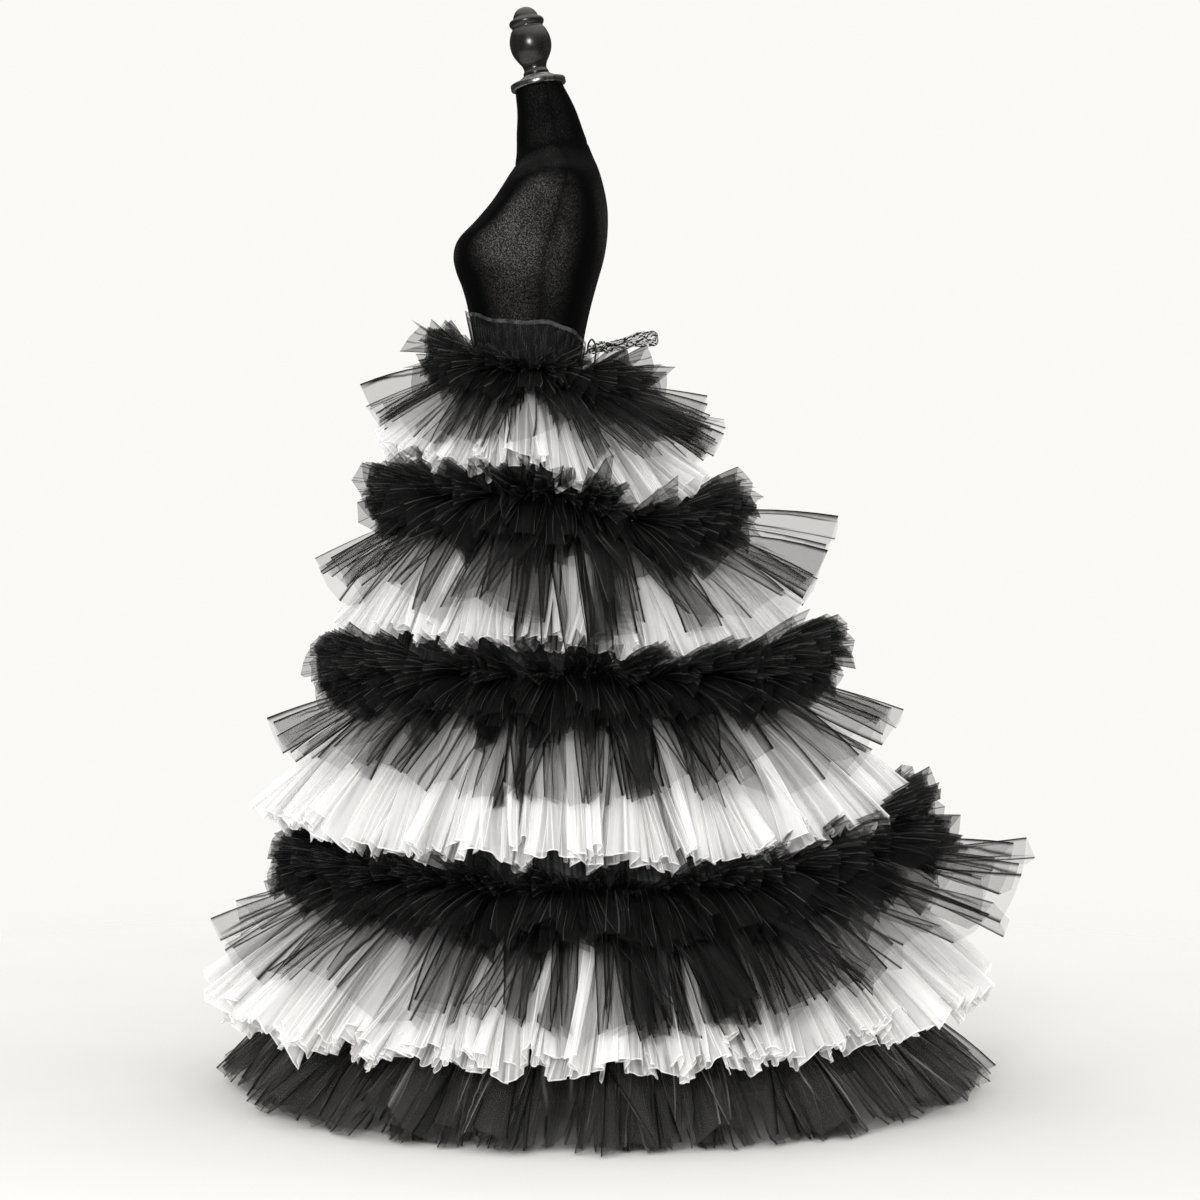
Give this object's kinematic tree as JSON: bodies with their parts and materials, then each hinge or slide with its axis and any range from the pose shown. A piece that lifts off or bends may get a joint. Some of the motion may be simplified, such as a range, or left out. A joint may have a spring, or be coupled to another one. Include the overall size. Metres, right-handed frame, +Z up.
{
  "type": "tulle overskirt on a dress form",
  "caption": "Floor-length overskirt of gathered black and white tulle flounces, longer at the back, worn on a limbless velvet dress form with a turned finial.",
  "frame": {"origin": "centre of the round foot's underside, on the floor below the dress form's pole", "axes": "+Z up, -Y the way the wearer faces, +X the wearer's left; the longer back of the skirt runs to +Y"},
  "size_m": [1.2276, 1.3203, 1.735],
  "materials": {
    "velvet": "black velvet, soft grey sheen",
    "turned_wood": "turned, dark satin lacquer",
    "cap_metal": "dark pewter, satin",
    "stand_steel": "black, satin",
    "black_tulle": "sheer black net, matte",
    "white_tulle": "sheer white net, matte",
    "cord": "black cord, matte"
  },
  "bodies": {
    "root": {"form_torso": "velvet", "neck_cap": "cap_metal", "finial": "turned_wood", "stand_pole": "stand_steel", "stand_foot": "stand_steel", "base_skirt": "black_tulle", "waistband": "black_tulle", "tie_loop": "black_tulle", "cord_loop": "cord", "ruche_1": "black_tulle", "black_flounce_1": "black_tulle", "white_flounce_1": "white_tulle", "ruche_2": "black_tulle", "black_flounce_2": "black_tulle", "white_flounce_2": "white_tulle", "ruche_3": "black_tulle", "black_flounce_3": "black_tulle", "white_flounce_3": "white_tulle", "ruche_4": "black_tulle", "black_flounce_4": "black_tulle", "white_flounce_4": "white_tulle", "hem_flounce": "black_tulle"}
  },
  "joints": []
}
